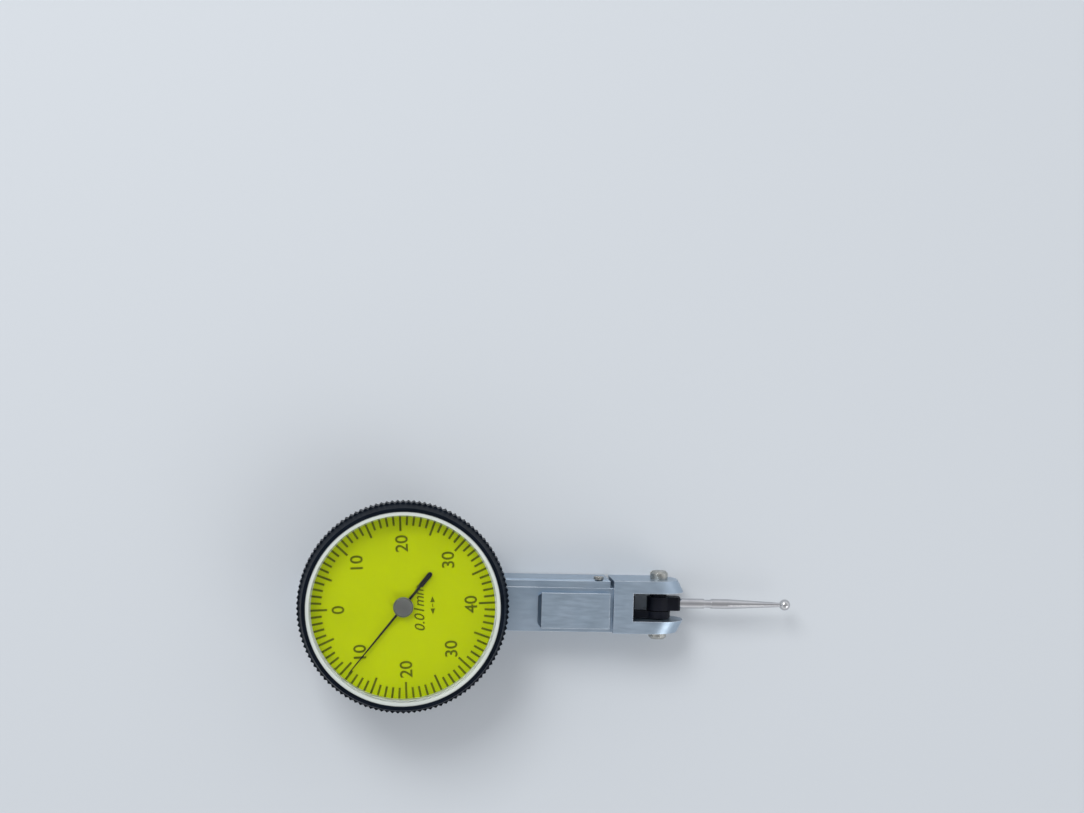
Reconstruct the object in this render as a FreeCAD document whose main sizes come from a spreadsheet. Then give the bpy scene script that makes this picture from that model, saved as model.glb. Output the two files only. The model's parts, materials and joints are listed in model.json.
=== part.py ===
import FreeCAD, Part
import math
import os
import re
import Sketcher

# A lever dial indicator: a forked bar, a dial case on its rear half and a swivelling stylus.
# X runs along the bar toward the stylus, Y toward the side cover and Z up to the dial.
# The origin is on the bar's flat underside, below the pointer's axis. Sizes are millimetres.

SIZES = {
    # The bar and its fork
    "bar_half_width": 4.7,
    "bar_tail": 16.4,
    "bar_edge": 0.3,
    "fork_height": 9.6,
    "tine_reach": 4.45,
    "tine_slope": 1.15,
    "tine_round": 4.3,
    "slot_width": 5.0,
    "slot_back": 5.15,
    "shoulder_back": 8.65,
    "pivot_height": 4.8,
    "bar_above_pivot": 3.2,
    "wall": 2.2,
    # The dovetails
    "dovetail_width": 6.35,
    "dovetail_root": 4.5,
    "dovetail_depth": 1.6,
    "pad_length": 12.75,
    "pad_gap": 0.7,
    "pad_slope": 0.6,
    "pad_edge": 0.2,
    # The side cover
    "cover_plane": 3.2,
    "cover_thickness": 1.5,
    "cover_tail": 8.0,
    "cover_gap": 0.5,
    # The hollow for the lever and the gear train
    "channel_half": 1.8,
    "channel_start": 9.0,
    "channel_end": 9.9,
    "head_back": 4.3,
    "head_clear": 0.4,
    # The dial case
    "case_floor": 1.0,
    "case_foot_step": 0.35,
    "case_foot_height": 1.1,
    "case_flange_reach": 0.75,
    "case_flange_thickness": 1.0,
    "case_rim_wall": 1.2,
    "case_rim_rise": 1.8,
    "case_window": 4.4,
    "ring_groove_rise": 1.0,
    "ring_wire_radius": 0.3,
    "ring_seat_gap": 0.02,
    "ring_play": 0.06,
    "ring_span": 348,
    "ring_gap_place": 96,
    # The bezel, dial and crystal
    "bezel_radius": 18.5,
    "bezel_shoulder_rise": 2.0,
    "bezel_slope": 1.0,
    "bezel_lip": 0.6,
    "bezel_fit": 0.05,
    "dial_clear": 0.4,
    "dial_seat": 0.3,
    "knurl_count": 120,
    "knurl_depth": 0.36,
    "knurl_neck": 0.03,
    "dial_thickness": 0.4,
    "dial_hole": 1.3,
    "dial_ring_width": 0.75,
    "dial_ring_height": 2.2,
    "crystal_thickness": 1.0,
    "crystal_recess": 0.7,
    # The pivots and running fits
    "running_gap": 0.03,
    "end_gap": 0.1,
    "lever_pin_radius": 0.75,
    "pivot_screw_radius": 1.0,
    "pivot_head_radius": 1.6,
    "pivot_head_height": 1.45,
    "pivot_head_slope": 0.4,
    "pivot_slot_depth": 0.6,
    "cup_depth": 0.6,
    # The lever
    "lever_thickness": 1.2,
    "lever_offset": 0.4,
    "lever_half_front": 1.1,
    "lever_half_rear": 0.8,
    "lever_tail": 6.0,
    "cheek_inner": 1.1,
    "cheek_outer": 2.3,
    "cheek_radius": 2.2,
    "cross_front": 4.45,
    "cross_back": 7.5,
    "rivet_first": 0.9,
    "rivet_second": 3.3,
    # The gear train
    "lever_module": 0.15,
    "sector_count": 602,
    "sector_teeth": 9,
    "sector_thickness": 0.8,
    "sector_tail": 4.2,
    "sector_neck": 0.6,
    "sector_spread": 4.4,
    "sector_shoulder": 1.75,
    "crown_leaves": 12,
    "crown_pinion_width": 1.4,
    "centre_module": 0.12,
    "wheel_teeth": 51,
    "centre_leaves": 14,
    "centre_pinion_below": 0.56,
    "centre_pinion_above": 0.34,
    "wheel_face": 0.4,
    "wheel_rim": 0.7,
    "wheel_rim_inset": 0.25,
    "tooth_inset": 0.03,
    "wheel_web": 0.4,
    "wheel_holes": 5,
    "wheel_hole_radius": 0.62,
    "arbor_radius": 0.35,
    "arbor_pivot_radius": 0.2,
    "rivet_radius": 0.35,
    "rivet_head_height": 0.12,
    # The bridges and jewels
    "cock_gap": 0.2,
    "cock_thickness": 0.9,
    "cock_tail": 8.5,
    "cock_near": 0.55,
    "cock_far": 1.25,
    "cock_fit": 0.1,
    "cock_side_gap": 0.3,
    "cock_taper": 1.2,
    "cock_nose": 0.9,
    "cock_nose_slope": 0.5,
    "jewel_radius": 0.4,
    "jewel_floor": 0.35,
    "jewel_end": 0.2,
    "upper_jewel_radius": 0.64,
    "bridge_lift": 0.5,
    "bridge_thickness": 0.8,
    "bridge_clear": 1.3,
    "bridge_half_width": 1.6,
    "bridge_middle": 1.4,
    "bridge_middle_half": 1.3,
    "bridge_foot": 2.6,
    "crown_jewel_radius": 0.6,
    "jewel_cover": 0.6,
    "bearing_plug_radius": 0.9,
    "plug_length": 2.0,
    "plug_slot_depth": 0.4,
    # The hairspring
    "collet_radius": 0.8,
    "collet_lift": 0.5,
    "collet_height": 0.8,
    "hairspring_radius": 4.2,
    "hairspring_strip": 0.12,
    "hairspring_height": 0.4,
    "hairspring_turns": 4,
    "hairspring_start": 0.15,
    "stud_size": 0.9,
    # The pointer
    "pointer_angle": 232,
    "pointer_clear": 1.15,
    "pointer_root": 0.45,
    "pointer_tip": 0.16,
    "pointer_point": 0.6,
    "pointer_disc": 1.3,
    "pointer_thickness": 0.2,
    "pointer_lift": 0.5,
    "tail_start": 4.6,
    "tail_length": 7.7,
    "tail_width": 0.85,
    "tail_slope": 0.25,
    "tail_end": 0.3,
    "hub_radius": 1.75,
    "hub_height": 0.75,
    "hub_edge": 0.28,
    "hub_cap": 0.1,
    # The stylus
    "block_half": 1.2,
    "block_radius": 2.1,
    "block_nose": 3.85,
    "block_nose_half": 1.5,
    "block_nose_slope": 0.4,
    "washer_thickness": 0.16,
    "washer_radius": 1.7,
    "nut_radius": 1.5,
    "nut_thickness": 0.6,
    "nut_slot_depth": 0.25,
    "stud_radius": 0.6,
    "stud_length": 1.4,
    "shank_radius": 0.9,
    "shank_first": 4.5,
    "neck_radius": 0.72,
    "neck_length": 1.3,
    "shank_second": 3.0,
    "taper_length": 9.7,
    "taper_end_radius": 0.4,
    "ball_radius": 1.0,
    # The small screws
    "screw_radius": 0.45,
    "screw_head_radius": 0.92,
    "screw_head_height": 0.5,
    "low_head_height": 0.4,
    "screw_depth": 1.8,
    "thread_end": 0.2,
    "screw_slot": 0.25,
    "cover_screw_inset": 2.1,
    "cover_screw_middle": 14.0,
    "cock_screw_side": 1.3,
    "case_screw_reach": 10.5,
    "case_screw_side": 3.0,
}

# Sizes that follow from others, as expressions on the sheet
PIVOT = "((sector_count + crown_leaves) * lever_module / 2)"
BAR_HEIGHT = "(pivot_height + bar_above_pivot)"
FORK_END = f"({PIVOT} + tine_reach)"
SLOT_REAR = f"({PIVOT} - slot_back)"
SHOULDER = f"({PIVOT} - shoulder_back)"
CHANNEL_END = f"({PIVOT} - channel_end)"
PAD_FRONT = f"({SHOULDER} - pad_gap)"
PAD_REAR = f"({PAD_FRONT} - pad_length)"
PAD_MIDDLE = "((cover_plane - bar_half_width) / 2)"
COVER_END = f"({SHOULDER} - cover_gap)"
COVER_FACE = "(cover_plane + cover_thickness)"
INNER_WALL = "(bar_half_width - wall)"
SLOT_SIDE = "(slot_width / 2)"
WHEEL_RADIUS = "(wheel_teeth * centre_module / 2)"
WHEEL_OUTSIDE = f"({WHEEL_RADIUS} + wheel_face / 2)"
WHEEL_INSIDE = f"({WHEEL_RADIUS} - wheel_face / 2)"
WHEEL_INNER_RIM = f"({WHEEL_INSIDE} - wheel_rim_inset)"
WHEEL_PLANE = "(centre_leaves * centre_module / 2)"
HEAD_FLOOR = f"(pivot_height - {WHEEL_OUTSIDE} - head_clear)"
CASE_FLOOR_TOP = f"({BAR_HEIGHT} + case_floor)"
BEZEL_FRONT = "(bezel_radius - bezel_slope)"
BEZEL_BORE = f"({BEZEL_FRONT} - bezel_lip)"
DIAL_WINDOW = f"({BEZEL_BORE} - dial_ring_width)"
CASE_RIM = f"({BEZEL_BORE} - dial_seat - bezel_fit)"
CASE_INSIDE = f"({CASE_RIM} - case_rim_wall)"
CASE_FOOT = f"({CASE_INSIDE} + case_foot_step)"
CASE_FLANGE = f"({CASE_RIM} + case_flange_reach)"
FLANGE_TOP = f"({BAR_HEIGHT} + case_foot_height + case_flange_thickness)"
GROOVE_HEIGHT = f"({FLANGE_TOP} + ring_groove_rise)"
CASE_TOP = f"({FLANGE_TOP} + case_rim_rise)"
BEZEL_BOTTOM = f"({FLANGE_TOP} + end_gap)"
DIAL_BOTTOM = f"({CASE_TOP} + dial_clear)"
DIAL_TOP = f"({DIAL_BOTTOM} + dial_thickness)"
RING_TOP = f"({DIAL_TOP} + dial_ring_height)"
BEZEL_SHOULDER = f"({DIAL_BOTTOM} + bezel_shoulder_rise)"
BEZEL_TOP = f"({RING_TOP} + crystal_thickness + crystal_recess)"
POINTER_LENGTH = f"({DIAL_WINDOW} - pointer_clear)"
POINTER_BOTTOM = f"({DIAL_TOP} + pointer_lift)"
HUB_BOTTOM = f"({POINTER_BOTTOM} + pointer_thickness)"
LEVER_FAR = "(lever_offset + lever_thickness)"
SECTOR_FAR = f"({LEVER_FAR} + sector_thickness)"
SECTOR_RADIUS = "(sector_count * lever_module / 2)"
BLOCK_NEAR = "(cheek_inner - washer_thickness - running_gap)"
PINION_LOW = f"(pivot_height + {WHEEL_INSIDE} - centre_pinion_below)"
PINION_HIGH = f"(pivot_height + {WHEEL_OUTSIDE} + centre_pinion_above)"
COCK_TOP = f"({PINION_LOW} - cock_gap)"
COCK_BOTTOM = f"({COCK_TOP} - cock_thickness)"
COLLET_BOTTOM = f"({CASE_FLOOR_TOP} + collet_lift)"
BRIDGE_BOTTOM = f"({COLLET_BOTTOM} + collet_height + bridge_lift)"
BRIDGE_REACH = "(hairspring_radius + stud_size + bridge_clear + bridge_foot)"
THREAD_REACH = "(screw_depth - thread_end)"
JEWEL_DEPTH = "(cover_thickness - jewel_cover)"
JEWEL_HOLE = "(arbor_pivot_radius + running_gap)"

# Where the small screws go, each as two coordinates on the face it is driven through
COVER_SCREWS = [
    (f"{COVER_END} - cover_screw_inset", f"(pivot_height + channel_half + {BAR_HEIGHT}) / 2"),
    ("cover_screw_middle", "(pivot_height - channel_half) / 2"),
    ("-(head_back + cover_tail) / 2", "pivot_height - channel_half"),
]
COCK_SCREWS = [
    ("-(head_back + cock_tail) / 2", "cock_screw_side"),
    ("-(head_back + cock_tail) / 2", "-cock_screw_side"),
]
CASE_SCREWS = [
    ("-case_screw_reach", "case_screw_side"),
    ("-case_screw_reach", "-case_screw_side"),
    ("case_screw_reach", f"-({INNER_WALL} + bar_half_width) / 2"),
]
BRIDGE_SCREWS = [
    (f"{BRIDGE_REACH} - bridge_foot / 2", "0"),
    (f"-({BRIDGE_REACH} - bridge_foot / 2)", "0"),
]

PLANES = {"top": "XY_Plane", "side": "XZ_Plane", "end": "YZ_Plane"}
ALONG_X = FreeCAD.Rotation(FreeCAD.Vector(0, 1, 0), 90)
ALONG_Y = FreeCAD.Rotation(FreeCAD.Vector(1, 0, 0), -90)
ALONG_Z = FreeCAD.Rotation()
DOWN_Y = FreeCAD.Rotation(FreeCAD.Vector(1, 0, 0), 90)
PRESSURE_ANGLE = math.radians(20)
# Tooth heights and the share of the pitch that a tooth fills, in the gears' own modules
ADDENDUM = 0.8
DEDENDUM = 1.15
TOOTH_SHARE = 0.46
# The knurl's grooves meet a little inside the bezel's full radius
KNURL_OVERLAP = 1.04
# How far a cut runs past a face, a form starts inside another and a hollow runs into the next
PAST = 0.1
SUNK = 0.2
JOIN = 0.5
# How near a point lies to a face that it counts as on
TOUCH = 0.01
# The share of the fork's height that a rounding may take
ROUND_LIMIT = 0.45

doc = FreeCAD.newDocument("dial_test_indicator")
sheet = doc.addObject("Spreadsheet::Sheet", "Sizes")
for row, (word, number) in enumerate(SIZES.items(), start=1):
    sheet.set(f"A{row}", word)
    sheet.set(f"B{row}", str(number))
    sheet.setAlias(f"B{row}", word)
doc.recompute()

sub_parts = []


def bound(text):
    """Point each size named in an expression at its cell in the sheet."""
    return re.sub(r"[a-z_]+", lambda word: "Sizes." + word[0] if word[0] in SIZES else word[0], text)


def size(text):
    """The number that an expression gives."""
    return float(sheet.evalExpression(bound(text)))


def locate(thing, rotation=ALONG_Z, x="0", y="0", z="0"):
    """Give a piece its direction and bind its place to the sheet."""
    thing.Placement = FreeCAD.Placement(FreeCAD.Vector(size(x), size(y), size(z)), rotation)
    for letter, text in zip("xyz", (x, y, z)):
        thing.setExpression(f"Placement.Base.{letter}", bound(text))


def new_body(label):
    """Start a solid of its own."""
    body = doc.addObject("PartDesign::Body", label)
    body.Label = label
    sub_parts.append(body)
    return body


def new_sketch(body, view, depth):
    """A sketch square to one axis of its body, at a depth along that axis."""
    sketch = body.newObject("Sketcher::SketchObject", "outline")
    plane = [item for item in body.Origin.OriginFeatures if item.Role == PLANES[view]][0]
    sketch.AttachmentSupport = [(plane, "")]
    sketch.MapMode = "FlatFace"
    sketch.setExpression("AttachmentOffset.Base.z", bound(depth))
    return sketch


def hold(sketch, kind, item, point, text):
    """Bind one coordinate of a point to the sheet."""
    number = sketch.addConstraint(Sketcher.Constraint(kind, -1, 1, item, point, size(text)))
    sketch.setExpression(f"Constraints[{number}]", bound(text))


def draw_outline(sketch, points):
    """A closed line through the points, each bound by its two coordinates."""
    corners = [FreeCAD.Vector(size(across), size(up), 0) for across, up in points]
    count = len(corners)
    for index in range(count):
        sketch.addGeometry(Part.LineSegment(corners[index], corners[(index + 1) % count]))
    for index, (across, up) in enumerate(points):
        sketch.addConstraint(Sketcher.Constraint("Coincident", index, 2, (index + 1) % count, 1))
        hold(sketch, "DistanceX", index, 1, across)
        hold(sketch, "DistanceY", index, 1, up)


def draw_circles(sketch, circles):
    """Circles bound by centre and radius."""
    for item, (across, up, radius) in enumerate(circles):
        centre = FreeCAD.Vector(size(across), size(up), 0)
        sketch.addGeometry(Part.Circle(centre, FreeCAD.Vector(0, 0, 1), size(radius)))
        number = sketch.addConstraint(Sketcher.Constraint("Radius", item, size(radius)))
        sketch.setExpression(f"Constraints[{number}]", bound(radius))
        hold(sketch, "DistanceX", item, 3, across)
        hold(sketch, "DistanceY", item, 3, up)


def extrude(kind, body, view, low, high, points=None, circles=None):
    """Add or cut a prism between two depths along the axis that the view looks down."""
    depth = f"-({high})" if view == "side" else low
    sketch = new_sketch(body, view, depth)
    if points:
        draw_outline(sketch, points)
    else:
        draw_circles(sketch, circles)
    feature = body.newObject(kind, "prism")
    feature.Profile = sketch
    feature.Reversed = kind == "PartDesign::Pocket"
    feature.setExpression("Length", bound(f"({high}) - ({low})"))
    doc.recompute()
    return feature


def add_prism(body, view, low, high, points=None, circles=None):
    return extrude("PartDesign::Pad", body, view, low, high, points, circles)


def cut_prism(body, view, low, high, points=None, circles=None):
    return extrude("PartDesign::Pocket", body, view, low, high, points, circles)


def rectangle(left, bottom, right, top):
    return [(left, bottom), (right, bottom), (right, top), (left, top)]


def many_sided(x, y, radius, sides=8):
    """The corners of a small regular outline, for threads and other small round forms."""
    turns = [2 * math.pi * side / sides for side in range(sides)]
    return [(f"{x} + {radius} * {round(math.cos(turn), 5)}", f"{y} + {radius} * {round(math.sin(turn), 5)}")
            for turn in turns]


def cut_threads(body, view, low, high, places):
    """Holes for the small screws, with eight flats as the screws' shanks have."""
    for x, y in places:
        cut_prism(body, view, low, high, many_sided(x, y, "screw_radius"))


def turn_profile(kind, body, points, angle=360):
    """Turn an outline of radius and height pairs about the body's Z axis."""
    sketch = new_sketch(body, "side", "0")
    draw_outline(sketch, points)
    feature = body.newObject(kind, "turned")
    feature.Profile = sketch
    feature.ReferenceAxis = (sketch, ["V_Axis"])
    feature.Angle = angle
    doc.recompute()
    return feature


def turned(label, points, angle=360):
    body = new_body(label)
    turn_profile("PartDesign::Revolution", body, points, angle)
    return body


def repeat_round(body, feature, count):
    """Repeat a feature round the body's Z axis."""
    pattern = body.newObject("PartDesign::PolarPattern", "pattern")
    pattern.Originals = [feature]
    axis = [item for item in body.Origin.OriginFeatures if item.Role == "Z_Axis"][0]
    pattern.Axis = (axis, [""])
    pattern.Angle = 360
    pattern.setExpression("Occurrences", bound(count))
    body.Tip = pattern
    doc.recompute()
    return pattern


def soften(kind, body, chosen, amount):
    """Chamfer or fillet the edges of a body that a test picks out."""
    base = body.Tip
    names = [f"Edge{number}" for number, edge in enumerate(base.Shape.Edges, start=1) if chosen(edge)]
    feature = body.newObject(kind, "softened")
    feature.Base = (base, names)
    feature.setExpression("Size" if kind.endswith("Chamfer") else "Radius", bound(amount))
    doc.recompute()
    return feature


def rod(label, radius, height, sides, rotation=ALONG_Z, x="0", y="0", z="0"):
    """A small many-sided rod that starts at a place and runs along its rotated Z axis."""
    thing = doc.addObject("Part::Prism", label)
    thing.Polygon = sides
    thing.setExpression("Circumradius", bound(radius))
    thing.setExpression("Height", bound(height))
    locate(thing, rotation, x, y, z)
    return thing


def collar(label, outer, inner, thickness, sides=16, depth=None):
    """A small ring or blind bearing whose flats touch the stated inner radius."""
    body = new_body(label)
    add_prism(body, "top", "0", thickness, many_sided("0", "0", outer, sides))
    across = round(1 / math.cos(math.pi / sides), 5)
    cut_prism(body, "top", f"{thickness} - ({depth or thickness})", thickness,
              many_sided("0", "0", f"({inner}) * {across}", sides))
    return body


def slotted_screw(label, rotation, x, y, z, shank_length, head_height="screw_head_height"):
    """A cheese head screw whose head stands up from its place along the rotated Z axis."""
    whole = doc.addObject("Part::Fuse", label + "_whole")
    whole.Base = rod(label + "_head", "screw_head_radius", head_height, 16)
    whole.Tool = rod(label + "_shank", "screw_radius", shank_length, 8, z=f"-({shank_length})")
    slot = doc.addObject("Part::Box", label + "_slot")
    slot.setExpression("Length", bound("3 * screw_head_radius"))
    slot.setExpression("Width", bound("screw_slot"))
    slot.setExpression("Height", bound(head_height))
    locate(slot, ALONG_Z, "-1.5 * screw_head_radius", "-screw_slot / 2", f"{head_height} / 2")
    screw = doc.addObject("Part::Cut", label)
    screw.Base = whole
    screw.Tool = slot
    locate(screw, rotation, x, y, z)
    return screw


def group(label, members):
    """Separate solids that share one node."""
    together = doc.addObject("Part::Compound", label)
    together.Label = label
    together.Links = members
    sub_parts.append(together)


def shaped(label, shape, rotation=ALONG_Z, x="0", y="0", z="0"):
    """A piece whose outline comes from a formula."""
    piece = doc.addObject("Part::Feature", label)
    piece.Label = label
    piece.Shape = shape
    locate(piece, rotation, x, y, z)
    sub_parts.append(piece)
    return piece


def polygon_prism(points, thickness):
    wire = Part.makePolygon(points + points[:1])
    return Part.Face(wire).extrude(FreeCAD.Vector(0, 0, thickness))


def stepped_shaft(sides, steps):
    """A small many-sided shaft from radius, start and end triples."""
    pieces = []
    for radius, low, high in steps:
        corners = [polar(size(radius), 2 * math.pi * side / sides, size(low)) for side in range(sides)]
        pieces.append(polygon_prism(corners, size(high) - size(low)))
    return pieces[0].multiFuse(pieces[1:])


def polar(radius, angle, height=0.0):
    return FreeCAD.Vector(radius * math.cos(angle), radius * math.sin(angle), height)


def involute(angle):
    return math.tan(angle) - angle


def pinion_outline(leaves, module, first_leaf):
    """The outline of a small involute pinion, with slightly thin leaves for play."""
    pitch = leaves * module / 2
    base = pitch * math.cos(PRESSURE_ANGLE)
    tip = pitch + ADDENDUM * module
    root = pitch - DEDENDUM * module
    half_leaf = TOOTH_SHARE * math.pi / leaves
    flank = []
    for radius in (base, tip):
        spread = half_leaf + involute(PRESSURE_ANGLE) - involute(math.acos(base / radius))
        flank.append((radius, spread))
    points = []
    for leaf in range(leaves):
        middle = first_leaf + 2 * math.pi * leaf / leaves
        points.append(polar(root, middle - flank[0][1]))
        points += [polar(radius, middle - spread) for radius, spread in flank]
        points += [polar(radius, middle + spread) for radius, spread in reversed(flank)]
        points.append(polar(root, middle + flank[0][1]))
    return points


def make_bar():
    """The bar with its fork, dovetails, lever channel and threaded holes."""
    body = new_body("indicator_body")
    side = "bar_half_width"
    add_prism(body, "top", "0", BAR_HEIGHT, [
        ("-bar_tail", f"-{side}"), (SHOULDER, f"-{side}"), (SHOULDER, "cover_plane"),
        ("-cover_tail", "cover_plane"), ("-cover_tail", side), ("-bar_tail", side)])
    add_prism(body, "top", "0", "fork_height", [
        (SHOULDER, f"-{side}"), (f"{FORK_END} - tine_slope", f"-{side}"),
        (FORK_END, f"-{SLOT_SIDE}"), (FORK_END, SLOT_SIDE),
        (f"{FORK_END} - tine_slope", side), (SHOULDER, side)])
    limit = size(f"{FORK_END} - tine_slope") - TOUCH
    rounding = f"min(tine_round; fork_height * {ROUND_LIMIT})"
    soften("PartDesign::Fillet", body, lambda edge: all(
        point.Point.x > limit for point in edge.Vertexes) and len(
        {round(point.Point.z, 4) for point in edge.Vertexes}) == 1, rounding)
    cut_prism(body, "top", "0", "fork_height", rectangle(
        SLOT_REAR, f"-{SLOT_SIDE}", f"{FORK_END} + {PAST}", SLOT_SIDE))
    pad_top = f"{BAR_HEIGHT} + dovetail_depth"
    add_prism(body, "end", PAD_REAR, PAD_FRONT, [
        (f"{PAD_MIDDLE} - dovetail_root / 2", f"{BAR_HEIGHT} - {SUNK}"),
        (f"{PAD_MIDDLE} + dovetail_root / 2", f"{BAR_HEIGHT} - {SUNK}"),
        (f"{PAD_MIDDLE} + dovetail_root / 2", BAR_HEIGHT),
        (f"{PAD_MIDDLE} + dovetail_width / 2", pad_top),
        (f"{PAD_MIDDLE} - dovetail_width / 2", pad_top),
        (f"{PAD_MIDDLE} - dovetail_root / 2", BAR_HEIGHT)])
    cut_prism(body, "side", f"-{side}", side, [
        (f"{PAD_REAR} - {PAST}", f"{BAR_HEIGHT} + pad_edge"),
        (f"{PAD_REAR} + pad_slope", f"{pad_top} + {PAST}"),
        (f"{PAD_REAR} - {PAST}", f"{pad_top} + {PAST}")])
    add_prism(body, "top", "0", BAR_HEIGHT, [
        (f"-bar_tail + {SUNK}", "-dovetail_root / 2"), ("-bar_tail", "-dovetail_root / 2"),
        ("-bar_tail - dovetail_depth", "-dovetail_width / 2"),
        ("-bar_tail - dovetail_depth", "dovetail_width / 2"),
        ("-bar_tail", "dovetail_root / 2"), (f"-bar_tail + {SUNK}", "dovetail_root / 2")])
    cut_prism(body, "side", f"-{INNER_WALL}", "cover_plane", rectangle(
        "-head_back", HEAD_FLOOR, "channel_start", BAR_HEIGHT))
    cut_prism(body, "side", f"-{INNER_WALL}", "cover_plane", rectangle(
        f"channel_start - {JOIN}", "pivot_height - channel_half", CHANNEL_END, "pivot_height + channel_half"))
    cut_prism(body, "end", f"{CHANNEL_END} - {JOIN}", f"{SLOT_REAR} + {SUNK}", rectangle(
        f"-{SLOT_SIDE}", "pivot_height - channel_half", SLOT_SIDE, "pivot_height + channel_half"))
    cut_prism(body, "top", COCK_BOTTOM, BAR_HEIGHT, rectangle(
        "-cock_tail - cock_fit", f"-{INNER_WALL} + cock_fit", f"-head_back + {JOIN}",
        f"{INNER_WALL} - cock_fit"))
    cut_prism(body, "side", f"-{side}", f"-{INNER_WALL}", many_sided(
        "0", "pivot_height", "bearing_plug_radius", 16))
    cut_prism(body, "side", f"-{side}", side, circles=[(PIVOT, "pivot_height", "pivot_screw_radius")])
    cut_threads(body, "side", "cover_plane - screw_depth", "cover_plane", COVER_SCREWS)
    cut_threads(body, "top", f"{COCK_BOTTOM} - screw_depth", COCK_BOTTOM, COCK_SCREWS)
    cut_threads(body, "top", f"{BAR_HEIGHT} - screw_depth", BAR_HEIGHT, CASE_SCREWS)


def make_side_cover():
    """The plate that closes the lever channel, with the front jewel's hole."""
    body = new_body("side_cover")
    add_prism(body, "side", "cover_plane", COVER_FACE, rectangle(
        "-cover_tail", "0", COVER_END, BAR_HEIGHT))
    face = size(COVER_FACE)
    soften("PartDesign::Chamfer", body, lambda edge: all(
        abs(point.Point.y - face) < TOUCH for point in edge.Vertexes), "bar_edge")
    cut_prism(body, "side", "cover_plane", f"cover_plane + {JEWEL_DEPTH}", many_sided(
        "0", "pivot_height", "crown_jewel_radius", 16))
    cut_threads(body, "side", "cover_plane", COVER_FACE, COVER_SCREWS)
    group("side_cover_screws", [
        slotted_screw(f"cover_screw_{number}", ALONG_Y, x, COVER_FACE, z,
                      f"cover_thickness + {THREAD_REACH}")
        for number, (x, z) in enumerate(COVER_SCREWS)])


def make_lower_cock():
    """The cantilever bridge that holds the centre arbor's lower jewel."""
    body = new_body("lower_cock")
    waist = "-head_back - cock_side_gap"
    wide = f"({INNER_WALL} - cock_side_gap)"
    nose = "cock_nose - cock_nose_slope"
    add_prism(body, "top", COCK_BOTTOM, COCK_TOP, [
        ("-cock_tail", f"-{wide}"), (waist, f"-{wide}"), (f"{waist} + cock_taper", "-cock_near"),
        (nose, "-cock_near"), ("cock_nose", "-cock_near + cock_nose_slope"),
        ("cock_nose", "cock_far - cock_nose_slope"), (nose, "cock_far"),
        (f"{waist} + cock_taper", "cock_far"), (waist, wide), ("-cock_tail", wide)])
    cut_prism(body, "top", COCK_BOTTOM, COCK_TOP, many_sided("0", "0", "jewel_radius", 16))
    cut_threads(body, "top", COCK_BOTTOM, COCK_TOP, COCK_SCREWS)
    group("lower_cock_screws", [
        slotted_screw(f"cock_screw_{number}", ALONG_Z, x, y, COCK_TOP,
                      f"cock_thickness + {THREAD_REACH}")
        for number, (x, y) in enumerate(COCK_SCREWS)])


def make_case():
    """The round dish that stands on the bar, carries the bezel and holds the movement."""
    foot_top = f"{BAR_HEIGHT} + case_foot_height"
    groove_low = f"{GROOVE_HEIGHT} - ring_wire_radius - ring_seat_gap"
    groove_high = f"{GROOVE_HEIGHT} + ring_wire_radius + ring_seat_gap"
    groove_root = f"{CASE_RIM} - ring_wire_radius"
    body = turned("dial_case", [
        ("case_window", BAR_HEIGHT), (CASE_FOOT, BAR_HEIGHT), (CASE_FOOT, foot_top),
        (CASE_FLANGE, foot_top), (CASE_FLANGE, FLANGE_TOP),
        (CASE_RIM, FLANGE_TOP), (CASE_RIM, groove_low), (groove_root, groove_low),
        (groove_root, groove_high), (CASE_RIM, groove_high), (CASE_RIM, CASE_TOP),
        (CASE_INSIDE, CASE_TOP), (CASE_INSIDE, CASE_FLOOR_TOP), ("case_window", CASE_FLOOR_TOP)])
    cut_threads(body, "top", BAR_HEIGHT, CASE_FLOOR_TOP, CASE_SCREWS + BRIDGE_SCREWS)
    group("case_screws", [
        slotted_screw(f"case_screw_{number}", ALONG_Z, x, y, CASE_FLOOR_TOP,
                      f"case_floor + {THREAD_REACH}")
        for number, (x, y) in enumerate(CASE_SCREWS)])


def make_upper_bridge():
    """The bridge over the hairspring that holds the centre arbor's upper jewel."""
    body = new_body("upper_bridge")
    top = f"{BRIDGE_BOTTOM} + bridge_thickness"
    reach = BRIDGE_REACH
    half = "bridge_half_width"
    inner = f"{BRIDGE_REACH} - bridge_foot"
    add_prism(body, "top", BRIDGE_BOTTOM, top, [
        (f"-{reach}", f"-{half}"), (f"-({inner})", f"-{half}"), ("-bridge_middle", "-bridge_middle_half"),
        ("bridge_middle", "-bridge_middle_half"), (inner, f"-{half}"), (reach, f"-{half}"), (reach, half),
        (inner, half), ("bridge_middle", "bridge_middle_half"), ("-bridge_middle", "bridge_middle_half"),
        (f"-({inner})", half), (f"-{reach}", half)])
    for sign in ("", "-"):
        near, far = f"{sign}({inner})", f"{sign}({reach})"
        left, right = (near, far) if sign == "" else (far, near)
        add_prism(body, "top", CASE_FLOOR_TOP, BRIDGE_BOTTOM, rectangle(left, f"-{half}", right, half))
    cut_threads(body, "top", CASE_FLOOR_TOP, top, BRIDGE_SCREWS)
    cut_prism(body, "top", BRIDGE_BOTTOM, top, many_sided("0", "0", "upper_jewel_radius", 16))
    group("bridge_screws", [
        slotted_screw(f"bridge_screw_{number}", ALONG_Z, x, y, top, f"{top} - {BAR_HEIGHT} - end_gap",
                      "low_head_height")
        for number, (x, y) in enumerate(BRIDGE_SCREWS)])


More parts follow.
